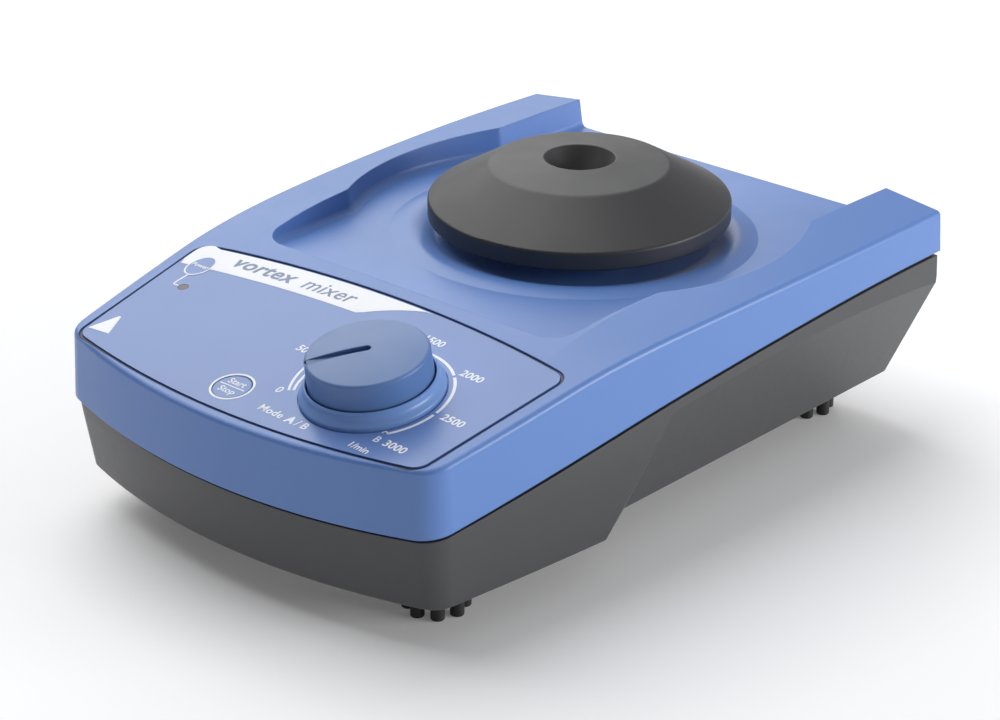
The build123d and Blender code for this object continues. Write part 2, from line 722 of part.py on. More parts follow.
def save_screws(label, plane, points, shank_r, head_r, head_h, length, gap=0.02):
    """Pan-head screws: heads stand on the plane, shanks run against its normal."""
    with BuildPart() as screws:
        with BuildSketch(plane.offset(gap)):
            with Locations(*points):
                Circle(head_r)
        extrude(amount=head_h)
        with BuildSketch(plane.offset(gap + head_h * 0.45)):
            with Locations(*points):
                RegularPolygon(shank_r * 0.75, 6)
        extrude(amount=head_h, mode=Mode.SUBTRACT)
        with BuildSketch(plane.offset(gap)):
            with Locations(*points):
                Circle(shank_r)
        extrude(amount=-length)
    save(screws, label)


under_board = Plane(
    origin=panel_point(0, 0, BOARD_TOP - BOARD_T),
    x_dir=(1, 0, 0),
    z_dir=-PANEL.z_dir,
)
save_screws("board_screws", under_board, [(u, -v) for u, v in BOARD_BOSSES], 1.2, 2.6, 1.6, 8)

# ---------------------------------------------------------------- chassis and motor
crank_points = [
    (CRANK_RING * cos(radians(a)), MOTOR_Y + CRANK_RING * sin(radians(a))) for a in CRANKS.values()
]
BUSH_R = 4.2
with BuildPart() as chassis_plate:
    with BuildSketch(Plane.XY.offset(PLATE_Z)):
        with Locations((0, MOTOR_Y)):
            RectangleRounded(2 * PLATE_HALF[0], 2 * PLATE_HALF[1], 6)
            Circle(8.1, mode=Mode.SUBTRACT)
            with PolarLocations(14, 3, start_angle=30):
                Circle(1.8, mode=Mode.SUBTRACT)
        with Locations(*crank_points):
            Circle(BUSH_R, mode=Mode.SUBTRACT)
        with Locations(*PLATE_POSTS):
            Circle(1.8, mode=Mode.SUBTRACT)
        with Locations((-41, MOTOR_Y), (41, MOTOR_Y)):
            SlotOverall(26, 9, rotation=90, mode=Mode.SUBTRACT)
        with Locations(*CASE_SCREWS):
            Circle(5.6, mode=Mode.SUBTRACT)
    extrude(amount=PLATE_T)
save(chassis_plate, "chassis_plate")

save_screws("chassis_screws", Plane.XY.offset(PLATE_TOP), PLATE_POSTS, 1.5, 2.9, 2.0, 11)

with BuildPart() as crank_bushes:
    with BuildSketch(Plane.XY.offset(PLATE_TOP + 0.02)):
        with Locations(*crank_points):
            Circle(5.4)
            Circle(CRANK_PIN_R + RUNNING, mode=Mode.SUBTRACT)
    extrude(amount=0.8)
    with BuildSketch(Plane.XY.offset(PLATE_Z - 2.5)):
        with Locations(*crank_points):
            Circle(BUSH_R - 0.02)
            Circle(CRANK_PIN_R + RUNNING, mode=Mode.SUBTRACT)
    extrude(amount=PLATE_T + 2.6)
save(crank_bushes, "crank_bushes")

MOTOR_AXIS = Axis((0, MOTOR_Y, 0), (0, 0, 1))
SHAFT_TOP = 47.0
with BuildPart() as motor_can:
    with BuildSketch(Plane.XZ.offset(-MOTOR_Y)):
        with BuildLine():
            Polyline(
                (SHAFT_R + RUNNING, CAN_BOTTOM + 1.5),
                (SHAFT_R + RUNNING, CAN_BOTTOM + 6),
                (6, CAN_BOTTOM + 6),
                (6, CAN_BOTTOM + 1.5),
                (CAN_R - 1.5, CAN_BOTTOM + 1.5),
                (CAN_R - 1.5, PLATE_Z - 2.0),
                (6, PLATE_Z - 2.0),
                (6, PLATE_Z - 5),
                (SHAFT_R + RUNNING, PLATE_Z - 5),
                (SHAFT_R + RUNNING, PLATE_TOP),
                (8.0, PLATE_TOP),
                (8.0, PLATE_Z - 0.02),
                (CAN_R, PLATE_Z - 0.02),
                (CAN_R, CAN_BOTTOM),
                (0, CAN_BOTTOM),
                (0, CAN_BOTTOM + 1.5),
                close=True,
            )
        make_face()
    revolve(axis=MOTOR_AXIS)
    with BuildSketch(Plane.XY.offset(PLATE_Z + 1)):
        with Locations((0, MOTOR_Y)):
            with PolarLocations(14, 3, start_angle=30):
                Circle(1.55)
    extrude(amount=-4, mode=Mode.SUBTRACT)
save(motor_can, "motor_can")

with BuildPart() as motor_stator:
    with BuildSketch(Plane.XY.offset(CAN_BOTTOM + 4)):
        with Locations((0, MOTOR_Y)):
            Circle(CAN_R - 1.55)
            Circle(CAN_R - 4, mode=Mode.SUBTRACT)
            with PolarLocations(CAN_R - 6, 9):
                Rectangle(5, 6)
    extrude(amount=12)
save(motor_stator, "motor_stator")

motor_screw_points = [
    (14 * cos(radians(30 + 120 * i)), MOTOR_Y + 14 * sin(radians(30 + 120 * i))) for i in range(3)
]
save_screws("motor_screws", Plane.XY.offset(PLATE_TOP - 0.9), motor_screw_points, 1.5, 1.75, 0.9, 4, 0)

with BuildPart() as rotor_shaft:
    with BuildSketch(Plane.XY.offset(CAN_BOTTOM + 2)):
        with Locations((0, MOTOR_Y)):
            Circle(SHAFT_R)
    extrude(amount=PLATE_TOP + 1 - CAN_BOTTOM - 2)
    with BuildSketch(Plane.XY.offset(CAN_BOTTOM + 7)):
        with Locations((0, MOTOR_Y)):
            Circle(18)
    extrude(amount=7)
    with BuildSketch(Plane.XY.offset(PLATE_TOP + 0.4)):
        with Locations((0, MOTOR_Y)):
            Circle(9)
    extrude(amount=SHAFT_TOP - PLATE_TOP - 0.4)
    with BuildSketch(Plane.XY.offset(SHAFT_TOP)):
        with Locations((0, PLATFORM_Y)):
            Circle(4.0)
    extrude(amount=6.4)
    chamfer(faces().sort_by(Axis.Z)[-1].edges(), length=0.5)
save(rotor_shaft, "rotor_shaft")

with BuildPart() as counterweight:
    with BuildSketch(Plane.XY.offset(PLATE_TOP + 1.6)):
        with Locations((0, MOTOR_Y)):
            Circle(26)
            with Locations((0, 15)):
                Rectangle(60, 36, mode=Mode.SUBTRACT)
            Circle(13)
            Circle(9.02, mode=Mode.SUBTRACT)
    extrude(amount=4.2)
save(counterweight, "counterweight")

with BuildPart() as eccentric_bearing:
    with BuildSketch(Plane.XY.offset(SHAFT_TOP + 0.4)):
        with Locations((0, PLATFORM_Y)):
            Circle(7.98)
            Circle(4.0 + RUNNING, mode=Mode.SUBTRACT)
    extrude(amount=5.4)
save(eccentric_bearing, "eccentric_bearing")

with BuildPart() as carrier:
    arm_tips = [(x, y + THROW) for x, y in crank_points]
    with BuildSketch(Plane.XY.offset(CARRIER_Z)) as carrier_plan:
        with Locations((0, PLATFORM_Y)):
            Circle(15)
            for angle in CRANKS.values():
                with Locations(Rotation(0, 0, angle) * Pos(CRANK_RING / 2, 0)):
                    Rectangle(CRANK_RING, 8)
        with Locations(*arm_tips):
            Circle(5.0)
            Circle(CRANK_TOP_PIN_R + RUNNING, mode=Mode.SUBTRACT)
    extrude(amount=CARRIER_T)
    with BuildSketch(Plane.XY.offset(CARRIER_Z)):
        with Locations((0, PLATFORM_Y)):
            Circle(NECK_R)
    extrude(amount=60.0 - CARRIER_Z)
    with BuildSketch(Plane.XY.offset(60.0)):
        with Locations((0, PLATFORM_Y)):
            Circle(STUB_R)
            Rectangle(2 * STUB_R, 2 * STUB_FLAT, mode=Mode.INTERSECT)
    extrude(amount=STUB_TOP - 60.0)
    chamfer(faces().sort_by(Axis.Z)[-1].edges(), length=0.6)
    with BuildSketch(Plane.XY.offset(CARRIER_Z - 1)):
        with Locations((0, PLATFORM_Y)):
            Circle(8.0)
    extrude(amount=7.6, mode=Mode.SUBTRACT)
save(carrier, "carrier")

for crank_name, (x, y) in zip(CRANKS, crank_points):
    with BuildPart() as crank:
        with BuildSketch(Plane.XY.offset(PLATE_Z - 3)):
            with Locations((x, y)):
                Circle(CRANK_PIN_R)
        extrude(amount=PLATE_TOP + 1.0 - PLATE_Z + 3)
        with BuildSketch(Plane.XY.offset(PLATE_TOP + 1.0)):
            with Locations((x, y + THROW / 2)):
                Circle(5.2)
        extrude(amount=CARRIER_Z - 0.3 - PLATE_TOP - 1.0)
        with BuildSketch(Plane.XY.offset(CARRIER_Z - 0.3)):
            with Locations((x, y + THROW)):
                Circle(CRANK_TOP_PIN_R)
        extrude(amount=CARRIER_T)
    save(crank, crank_name)

# ---------------------------------------------------------------- platform
PLATFORM_AXIS = Axis((0, PLATFORM_Y, 0), (0, 0, 1))
platform_section = Plane.XZ.offset(-PLATFORM_Y)

with BuildPart() as attachment_cap:
    with BuildSketch(platform_section) as cap_section:
        with BuildLine():
            Polyline(
                (0, DIP_BOTTOM - 2.2),
                (9.0, DIP_BOTTOM - 2.2),
                (CAP_BREAK[0] - 1.5, CAP_BREAK[1] - 3.2),
                (CAP_R - 3.4, CAP_RIM_TOP - 1.6),
                (CAP_R - 3.4, CAP_RIM_BOTTOM),
                (CAP_R, CAP_RIM_BOTTOM),
                (CAP_R, CAP_RIM_TOP),
                CAP_BREAK,
                (DIP_R, DIP_TOP),
                (4.2, DIP_BOTTOM + 0.6),
                (2.4, DIP_BOTTOM),
                (0, DIP_BOTTOM),
                close=True,
            )
        make_face()
        soft = [v for v in cap_section.vertices() if abs(v.X - CAP_R) < 0.01 and v.Y > 62]
        fillet(soft, radius=0.9)
        low = [v for v in cap_section.vertices() if abs(v.X - CAP_R) < 0.01 and v.Y < 62]
        fillet(low, radius=0.5)
        break_corner = [v for v in cap_section.vertices() if abs(v.X - CAP_BREAK[0]) < 0.01]
        fillet(break_corner, radius=2.5)
        dip_corner = [v for v in cap_section.vertices() if abs(v.X - DIP_R) < 0.01]
        fillet(dip_corner, radius=0.4)
    revolve(axis=PLATFORM_AXIS)
save(attachment_cap, "attachment_cap")

with BuildPart() as attachment_plate:
    with BuildSketch(platform_section):
        with BuildLine():
            Polyline(
                (STUB_R + 0.1, 60.1),
                (10.5, 60.1),
                (10.5, 61.6),
                (20.0, 61.6),
                (20.0, 57.4),
                (22.0, 57.4),
                (22.0, 61.6),
                (CAP_R - 3.45, 61.6),
                (CAP_R - 3.45, 63.6),
                (10.5, 63.6),
                (10.5, 66.7),
                (STUB_R + 0.1, 66.7),
                close=True,
            )
        make_face()
    revolve(axis=PLATFORM_AXIS)
    with BuildSketch(Plane.XY.offset(60.3)):
        for side in (-1, 1):
            with Locations((0, PLATFORM_Y + side * (STUB_FLAT + 0.15 + 1.2))):
                Rectangle(2 * STUB_R + 2, 2.4)
    extrude(amount=6.2)
save(attachment_plate, "attachment_plate")

# ---------------------------------------------------------------- supply, ballast, small parts
with BuildPart() as power_board:
    with BuildSketch(Plane.XY.offset(20.02)):
        with Locations((0, 79)):
            RectangleRounded(72, 22, 2)
        with Locations(*POWER_PEGS):
            Circle(1.4, mode=Mode.SUBTRACT)
    extrude(amount=1.56)
    with BuildSketch(Plane.XY.offset(21.5)):
        for x, y, w, d in ((-20, 83, 12, 9), (0, 80, 9, 9), (16, 84, 8, 6)):
            with Locations((x, y)):
                Rectangle(w, d)
    extrude(amount=5)
    with BuildSketch(Plane.XY.offset(21.5)):
        with Locations((-31, 84), (9, 73)):
            Circle(4)
    extrude(amount=9)
save(power_board, "power_board")

save_screws("power_screws", Plane.XY.offset(21.58), POWER_PEGS, 1.2, 2.4, 1.5, 5.5)

with BuildPart() as dc_jack:
    with BuildSketch(Plane.XY.offset(21.6)):
        with Locations((JACK_X, 84)):
            Rectangle(10, 15)
    extrude(amount=11)
    with BuildSketch(Plane.XZ.offset(-91.5)):
        with Locations((JACK_X, JACK_Z)):
            Circle(4.4)
    extrude(amount=-6.2)
    with BuildSketch(Plane.XZ.offset(-97.7)):
        with Locations((JACK_X, JACK_Z)):
            Circle(3.1)
            Circle(1.0, mode=Mode.SUBTRACT)
    extrude(amount=9, mode=Mode.SUBTRACT)
save(dc_jack, "dc_jack")

with BuildPart() as ballast_plate:
    with BuildSketch(Plane.XY.offset(TUB_FLOOR_TOP + 0.02)):
        with Locations((0, -56)):
            RectangleRounded(92, 50, 5)
        with Locations((-30, -56), (30, -56)):
            Circle(2.2, mode=Mode.SUBTRACT)
    extrude(amount=9)
save(ballast_plate, "ballast_plate")

LINK_X = -37.0
LINK_W = 3.6
LINK_T = 1.0
with BuildPart() as wire_link:
    with BuildSketch(Plane.YZ.offset(LINK_X)):
        with BuildLine():
            FilletPolyline(
                (-52.0, 42.2),
                (-52.0, 38.5),
                (-27.0, 32.0),
                (-25.0, 15.6),
                (67.3, 15.6),
                (68.6, 19.2),
                radius=1.5,
            )
            offset(amount=LINK_T / 2, side=Side.BOTH)
        make_face()
    extrude(amount=LINK_W)
save(wire_link, "wire_link")

screw_seat = Plane(origin=(0, 0, TUB_BOTTOM + 5), x_dir=(1, 0, 0), z_dir=(0, 0, -1))
save_screws("case_screws", screw_seat, [(x, -y) for x, y in CASE_SCREWS], 1.5, 3.0, 2.2, 27)

for foot_name, (x, y) in FEET.items():
    with BuildPart() as foot:
        with BuildSketch(Plane.XY.offset(FOOT_PAD_Z)):
            with Locations((x, y)):
                Circle(FOOT_PAD_R)
        extrude(amount=TUB_BOTTOM - 0.02 - FOOT_PAD_Z)
        with BuildSketch(Plane.XY.offset(TUB_BOTTOM - 0.1)):
            with Locations((x, y)):
                Circle(FOOT_PLUG_R - 0.05)
        extrude(amount=TUB_WALL)
        with BuildSketch(Plane.XY):
            with Locations((x, y)):
                with PolarLocations(FOOT_PIN_RING, 8):
                    Circle(FOOT_PIN_R)
        extrude(amount=FOOT_PAD_Z)
        pin_rims = [e for e in foot.edges() if e.center().Z < 0.01]
        fillet(pin_rims, radius=0.4)
    save(foot, foot_name)

with BuildPart() as type_plate:
    with BuildSketch(Plane.XY.offset(TUB_BOTTOM - 0.42)):
        with Locations((0, 20)):
            RectangleRounded(60, 36, 2)
    extrude(amount=0.4)
save(type_plate, "type_plate")
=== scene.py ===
"""Looks of the vortex mixer: moulded plastic, rubber, machined parts and the printed control panel."""

import json
import math

import bpy
from mathutils import Matrix, Vector


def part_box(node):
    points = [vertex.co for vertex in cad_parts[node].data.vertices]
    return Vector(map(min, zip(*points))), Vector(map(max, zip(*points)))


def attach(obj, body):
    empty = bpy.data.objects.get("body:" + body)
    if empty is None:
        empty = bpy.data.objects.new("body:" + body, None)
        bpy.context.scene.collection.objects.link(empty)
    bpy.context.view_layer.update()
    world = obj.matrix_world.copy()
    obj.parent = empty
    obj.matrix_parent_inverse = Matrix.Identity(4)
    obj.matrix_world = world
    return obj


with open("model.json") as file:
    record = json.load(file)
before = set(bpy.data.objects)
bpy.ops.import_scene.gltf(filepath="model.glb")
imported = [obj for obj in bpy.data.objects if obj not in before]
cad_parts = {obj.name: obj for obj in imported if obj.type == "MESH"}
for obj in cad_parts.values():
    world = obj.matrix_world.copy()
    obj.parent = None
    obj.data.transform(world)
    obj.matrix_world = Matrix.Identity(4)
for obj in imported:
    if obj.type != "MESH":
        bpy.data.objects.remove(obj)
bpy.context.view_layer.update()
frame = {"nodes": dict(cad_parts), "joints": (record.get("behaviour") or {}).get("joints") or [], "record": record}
nodes = frame["nodes"]
record = frame["record"]
MM = 0.001


# ---------------------------------------------------------------- materials
IOR = 1.5
NOISE_LOW, NOISE_HIGH = 0.2, 0.8
SPREAD_SHARE = 0.3
BEVEL_SAMPLES = 4


def surface(name, color, rough, *, metal=0.0, grain=0.0, grain_size=0.5, mottle=0.06, mottle_size=25.0,
            rough_spread=0.06, brushed=None, edge=0.25):
    """Principled material with moulded grain, faint mottling and softened edges. Sizes in mm."""
    mat = bpy.data.materials.new(name)
    mat.use_nodes = True
    tree = mat.node_tree
    link = tree.links.new
    shader = tree.nodes["Principled BSDF"]
    shader.inputs["Metallic"].default_value = metal
    shader.inputs["IOR"].default_value = IOR
    coords = tree.nodes.new("ShaderNodeTexCoord").outputs["Object"]

    def noise(size_mm, detail, stretch=None):
        tex = tree.nodes.new("ShaderNodeTexNoise")
        tex.inputs["Scale"].default_value = 1000.0 / size_mm
        tex.inputs["Detail"].default_value = detail
        source = coords
        if stretch:
            mapping = tree.nodes.new("ShaderNodeMapping")
            mapping.inputs["Scale"].default_value = stretch
            link(coords, mapping.inputs["Vector"])
            source = mapping.outputs["Vector"]
        link(source, tex.inputs["Vector"])
        return tex.outputs["Fac"]

    # Base colour drifts a little either way.
    mix = tree.nodes.new("ShaderNodeMix")
    mix.data_type = "RGBA"
    low = tuple(c * (1 - mottle) for c in color[:3])
    high = tuple(min(c * (1 + mottle), 1.0) for c in color[:3])
    mix.inputs[6].default_value = (*low, 1.0)
    mix.inputs[7].default_value = (*high, 1.0)
    link(noise(mottle_size, 4.0), mix.inputs[0])
    link(mix.outputs[2], shader.inputs["Base Color"])

    # So does the roughness.
    spread = tree.nodes.new("ShaderNodeMapRange")
    spread.inputs["From Min"].default_value = NOISE_LOW
    spread.inputs["From Max"].default_value = NOISE_HIGH
    spread.inputs["To Min"].default_value = max(rough - rough_spread, 0.02)
    spread.inputs["To Max"].default_value = min(rough + rough_spread, 1.0)
    link(noise(mottle_size * SPREAD_SHARE, 5.0), spread.inputs["Value"])
    link(spread.outputs["Result"], shader.inputs["Roughness"])

    # Fine grain over rounded edges.
    bump = tree.nodes.new("ShaderNodeBump")
    bump.inputs["Strength"].default_value = 1.0
    bump.inputs["Distance"].default_value = grain * MM
    link(noise(grain_size, 2.0, brushed), bump.inputs["Height"])
    if edge > 0:
        bevel = tree.nodes.new("ShaderNodeBevel")
        bevel.samples = BEVEL_SAMPLES
        bevel.inputs["Radius"].default_value = edge * MM
        link(bevel.outputs["Normal"], bump.inputs["Normal"])
    link(bump.outputs["Normal"], shader.inputs["Normal"])
    return mat


BLUE = (0.108, 0.222, 0.545, 1.0)
FOIL_BLUE = (0.125, 0.225, 0.52, 1.0)
GREY = (0.053, 0.054, 0.057, 1.0)
BLACK = (0.012, 0.012, 0.013, 1.0)
STEEL = (0.50, 0.51, 0.53, 1.0)
# Lighter blue for the knob collar: painted light on its skirt, not a different plastic.
COLLAR_PAINTED_LIGHT_BLUE = (0.165, 0.30, 0.62, 1.0)
INK_WHITE = (0.86, 0.88, 0.92, 1.0)
INK_BLUE = (0.15, 0.21, 0.36, 1.0)
FLOOR_WHITE = (0.93, 0.93, 0.935, 1.0)

looks = {
    "base_plastic": surface("grained_grey", GREY, 0.38, grain=0.012, grain_size=0.5, mottle=0.03,
                            mottle_size=6, rough_spread=0.03, edge=0.5),
    "cover_plastic": surface("satin_blue", BLUE, 0.36, grain=0.006, grain_size=0.45, mottle=0.02,
                             rough_spread=0.03, edge=0.5),
    "black_rubber": surface("black_rubber", BLACK, 0.55, grain=0.03, grain_size=0.7),
    "groove_rubber": surface("navy_groove", (0.01, 0.018, 0.075, 1.0), 0.5, grain=0.01),
    "panel_foil": surface("satin_foil", FOIL_BLUE, 0.33, grain=0.003, grain_size=0.3, mottle=0.02,
                          rough_spread=0.02, edge=0.0),
    "black_plastic": surface("black_plastic", (0.02, 0.02, 0.021, 1.0), 0.45, grain=0.02),
    "steel": surface("machined_steel", STEEL, 0.3, metal=1.0, grain=0.008, brushed=(1, 1, 8)),
    "light_pipe": surface("smoked_lens", (0.022, 0.022, 0.023, 1.0), 0.18, grain=0.002, edge=0.05),
    "circuit_board": surface("green_varnish", (0.01, 0.11, 0.05, 1.0), 0.3, grain=0.01, mottle=0.2,
                             mottle_size=4),
    "aluminium_plate": surface("milled_aluminium", (0.6, 0.61, 0.63, 1.0), 0.34, metal=1.0, grain=0.01,
                               brushed=(1, 14, 1)),
    "bronze": surface("sintered_bronze", (0.45, 0.25, 0.12, 1.0), 0.5, metal=1.0, grain=0.03),
    "motor_paint": surface("motor_paint", (0.03, 0.03, 0.033, 1.0), 0.4, grain=0.02),
    "iron": surface("cast_iron", (0.08, 0.08, 0.08, 1.0), 0.7, metal=0.6, grain=0.15, grain_size=1.2),
    "label_foil": surface("blank_foil", (0.55, 0.56, 0.57, 1.0), 0.35, grain=0.005, mottle=0.03),
    "carrier_plastic": surface("glass_filled_black", (0.03, 0.03, 0.032, 1.0), 0.55, grain=0.04,
                               mottle=0.15),
    "cap_rubber": surface("soft_grey_rubber", (0.030, 0.030, 0.032, 1.0), 0.46, grain=0.012,
                          grain_size=0.45, mottle=0.03, rough_spread=0.03, edge=0.4),
    "knob_plastic": surface("knob_blue", (0.085, 0.175, 0.40, 1.0), 0.38, grain=0.006, mottle=0.02,
                            edge=0.5),
    # Pointer inlay darker than the knob: painted shade standing in for the shadow in its groove.
    "print_white": surface("pointer_painted_shade_blue", (0.05, 0.11, 0.28, 1.0), 0.4, grain=0.005, edge=0.1),
    "key_plastic": surface("key_foil", FOIL_BLUE, 0.33, grain=0.003, grain_size=0.3, mottle=0.02,
                           rough_spread=0.02, edge=0.1),
}
ink_white = surface("white_ink", INK_WHITE, 0.4, grain=0.002, grain_size=0.2, mottle=0.02, edge=0.0)
ink_blue = surface("blue_ink", INK_BLUE, 0.4, grain=0.002, grain_size=0.2, mottle=0.02, edge=0.0)

for part in record["subparts"]:
    piece = nodes[part["node"]]
    piece.data.materials.clear()
    piece.data.materials.append(looks[part["material_slot"]])
# The collar is a lighter blue than the other pieces of its slot: painted light, standing in for the light its
# flared skirt catches.
collar_painted_light_look = surface("collar_painted_light_blue", COLLAR_PAINTED_LIGHT_BLUE, 0.34, grain=0.004, mottle=0.02, rough_spread=0.03, edge=0.2)
nodes["knob_collar"].data.materials[0] = collar_painted_light_look


# ---------------------------------------------------------------- panel frame
knob_joint = next(j for j in frame["joints"] if j["name"] == "knob_turn")
normal = Vector(knob_joint["axis"]).normalized()
knob_axis_point = Vector(knob_joint["pos_m"])
foil_height = max(v.co.dot(normal) for v in nodes["control_foil"].data.vertices)
across = Vector((1, 0, 0))
along = normal.cross(across)
PANEL_REF_Y = -0.060
panel_origin = Vector((0, PANEL_REF_Y, (foil_height - PANEL_REF_Y * normal.y) / normal.z))
panel = Matrix.Translation(panel_origin) @ Matrix((across, along, normal)).transposed().to_4x4()
knob_u = (knob_axis_point - panel_origin).dot(across) / MM
knob_v = (knob_axis_point - panel_origin).dot(along) / MM
key_low, key_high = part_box("start_stop_key")
key_centre = (key_low + key_high) / 2
key_u = key_centre.x / MM
light_low, light_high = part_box("power_light_pipe")
light_u = (light_low.x + light_high.x) / 2 / MM

# Thickness of a layer of ink, and the mid heights of layers laid over each other.
INK = 0.04
FIRST_INK = INK * 0.5
SECOND_INK = INK * 1.5
THIRD_INK = INK * 2.0
FOURTH_INK = INK * 2.5
# Share of a font's size taken by its capitals.
CAP_SHARE = 0.73


# ---------------------------------------------------------------- printed shapes, in panel mm
def place(mesh_source, name, material, body, h):
    """Turn a flat curve or text drawn in mm into a layer of ink on the panel."""
    mesh_source.extrude = INK / 2
    holder = bpy.data.objects.new(name + "_curve", mesh_source)
    bpy.context.scene.collection.objects.link(holder)
    bpy.context.view_layer.update()
    mesh = bpy.data.meshes.new_from_object(holder)
    bpy.data.objects.remove(holder)
    mesh.transform(panel @ Matrix.Scale(MM, 4) @ Matrix.Translation((0, 0, h)))
    mesh.name = name
    piece = bpy.data.objects.new(name, mesh)
    bpy.context.scene.collection.objects.link(piece)
    mesh.materials.clear()
    mesh.materials.append(material)
    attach(piece, body)
    return piece


def printed(name, outlines, material=ink_white, body="housing", h=FIRST_INK):
    """Filled shape from closed outlines; an outline inside another is a hole."""
    curve = bpy.data.curves.new(name, "CURVE")
    curve.dimensions = "2D"
    curve.fill_mode = "BOTH"
    for points in outlines:
        spline = curve.splines.new("POLY")
        spline.points.add(len(points) - 1)
        for slot, (u, v) in zip(spline.points, points):
            slot.co = (u, v, 0, 1)
        spline.use_cyclic_u = True
    return place(curve, name, material, body, h)


def lettering(name, words, u, v, cap, *, angle=0.0, slant=0.0, weight=0.0, spacing=1.0, align="CENTER",
              material=ink_white, body="housing", h=FIRST_INK):
    """One line of text; cap is the height of its capitals."""
    text = bpy.data.curves.new(name, "FONT")
    text.body = words
    text.align_x = align
    text.align_y = "CENTER"
    text.shear = slant
    text.space_character = spacing
    text.size = cap / CAP_SHARE
    text.offset = weight * cap
    text.resolution_u = 3
    piece = place(text, name, material, body, 0)
    turn = Matrix.Translation((u, v, h)) @ Matrix.Rotation(math.radians(angle), 4, "Z")
    panel_mm = panel @ Matrix.Scale(MM, 4)
    piece.data.transform(panel_mm @ turn @ panel_mm.inverted())
    return piece


RING_STEPS = 72
BAND_STEPS = 24


def polar(cu, cv, r, deg):
    """Point at radius r and angle deg from a centre."""
    return cu + r * math.cos(math.radians(deg)), cv + r * math.sin(math.radians(deg))


def ring(cu, cv, r, squeeze=1.0):
    """Closed circle, narrowed across the panel by squeeze."""
    circle = [polar(cu, cv, r, 360 * i / RING_STEPS) for i in range(RING_STEPS)]
    return [(cu + squeeze * (u - cu), v) for u, v in circle]


def band(cu, cv, r0, r1, start, end):
    """Arc band from start to end degrees between radii r0 and r1."""
    sweep = [start + (end - start) * i / BAND_STEPS for i in range(BAND_STEPS + 1)]
    return [polar(cu, cv, r1, a) for a in sweep] + [polar(cu, cv, r0, a) for a in reversed(sweep)]


def stroke(points, width):
    """Outline of a constant-width line through points."""
    left, right = [], []
    for i, (u, v) in enumerate(points):
        before = Vector(points[max(i - 1, 0)])
        after = Vector(points[min(i + 1, len(points) - 1)])
        direction = (after - before).normalized()
        side = Vector((-direction.y, direction.x)) * width / 2
        left.append((u + side.x, v + side.y))
        right.append((u - side.x, v - side.y))
    return left + right[::-1]


# Name stripe along the panel's rear edge, cut away round the dial.
STRIPE_STEPS = 16
FOIL_REAR_V = 22.7
STRIPE_INSET = 0.75
LOWER_EDGE = {"first_u": -2.9, "last_u": -61.6, "middle_v": 12.0, "bow": 0.0014}
UPPER_EDGE = {"first_u": -57.0, "last_u": 15.0, "middle_v": FOIL_REAR_V - STRIPE_INSET, "bow": 0.0015}
STRIPE_TIP = (-62.5, 9.0)
STRIPE_CORNER = (-58.9, 13.7)
STRIPE_CORNER_R = 4.0
CUTAWAY_R, CUTAWAY_GROWTH = 36.9, 1.3
CUTAWAY_START, CUTAWAY_SWEEP = 108.0, 32.0
CUTAWAY_STEPS = 9


def flat_arc(first_u, last_u, middle_v, bow):
    """Points along an edge that falls by bow * u squared from the panel's middle."""
    us = [first_u + (last_u - first_u) * i / STRIPE_STEPS for i in range(STRIPE_STEPS + 1)]
    return [(u, middle_v - bow * u * u) for u in us]


stripe = flat_arc(**LOWER_EDGE) + [STRIPE_TIP]
stripe += [polar(*STRIPE_CORNER, STRIPE_CORNER_R, a) for a in (175, 160, 145, 130, 115, 100)]
stripe += flat_arc(**UPPER_EDGE)
for i in range(1, CUTAWAY_STEPS):
    share = i / CUTAWAY_STEPS
    radius = CUTAWAY_R + CUTAWAY_GROWTH * share
    stripe.append(polar(knob_u, knob_v, radius, CUTAWAY_START + CUTAWAY_SWEEP * share))
printed("name_stripe", [stripe])
on_stripe = {"slant": 0.22, "align": "LEFT", "material": ink_blue, "h": SECOND_INK}
lettering("stripe_word_1", "vortex", -49.0, 14.7, 5.2, angle=3.2, weight=0.03, spacing=1.06, **on_stripe)
lettering("stripe_word_2", "mixer", -25.0, 16.0, 5.2, angle=2.0, weight=0.005, spacing=1.03, **on_stripe)

# Power bubble with its lead to the lamp window.
BUBBLE_R = 5.0
BUBBLE_LINE = 0.45
bubble_u, bubble_v = light_u - 3.9, 8.1
lead_u = bubble_u + 0.2
lead_v = -2.1
printed("power_bubble", [ring(bubble_u, bubble_v, BUBBLE_R, squeeze=0.7)], material=looks["panel_foil"],
        h=SECOND_INK)
printed("power_ring", [ring(bubble_u, bubble_v, BUBBLE_R, squeeze=0.72),
                       ring(bubble_u, bubble_v, BUBBLE_R - BUBBLE_LINE, squeeze=0.70)], h=THIRD_INK)
lettering("power_word", "Power", bubble_u, bubble_v, 1.6, weight=0.02, h=FOURTH_INK)
lead = [(lead_u, bubble_v - 4.9), (lead_u, lead_v + 0.5), (lead_u + 0.3, lead_v), (light_u - 1.7, lead_v)]
printed("power_lead", [stroke(lead, BUBBLE_LINE)])

# Plain triangle mark at the left.
mark_u, mark_v = -55.2, -26.3
printed("corner_mark", [[(mark_u - 3.4, mark_v - 2.9), (mark_u + 3.6, mark_v - 2.3),
                         (mark_u + 0.3, mark_v + 5.2), (mark_u - 0.4, mark_v + 5.2)]])

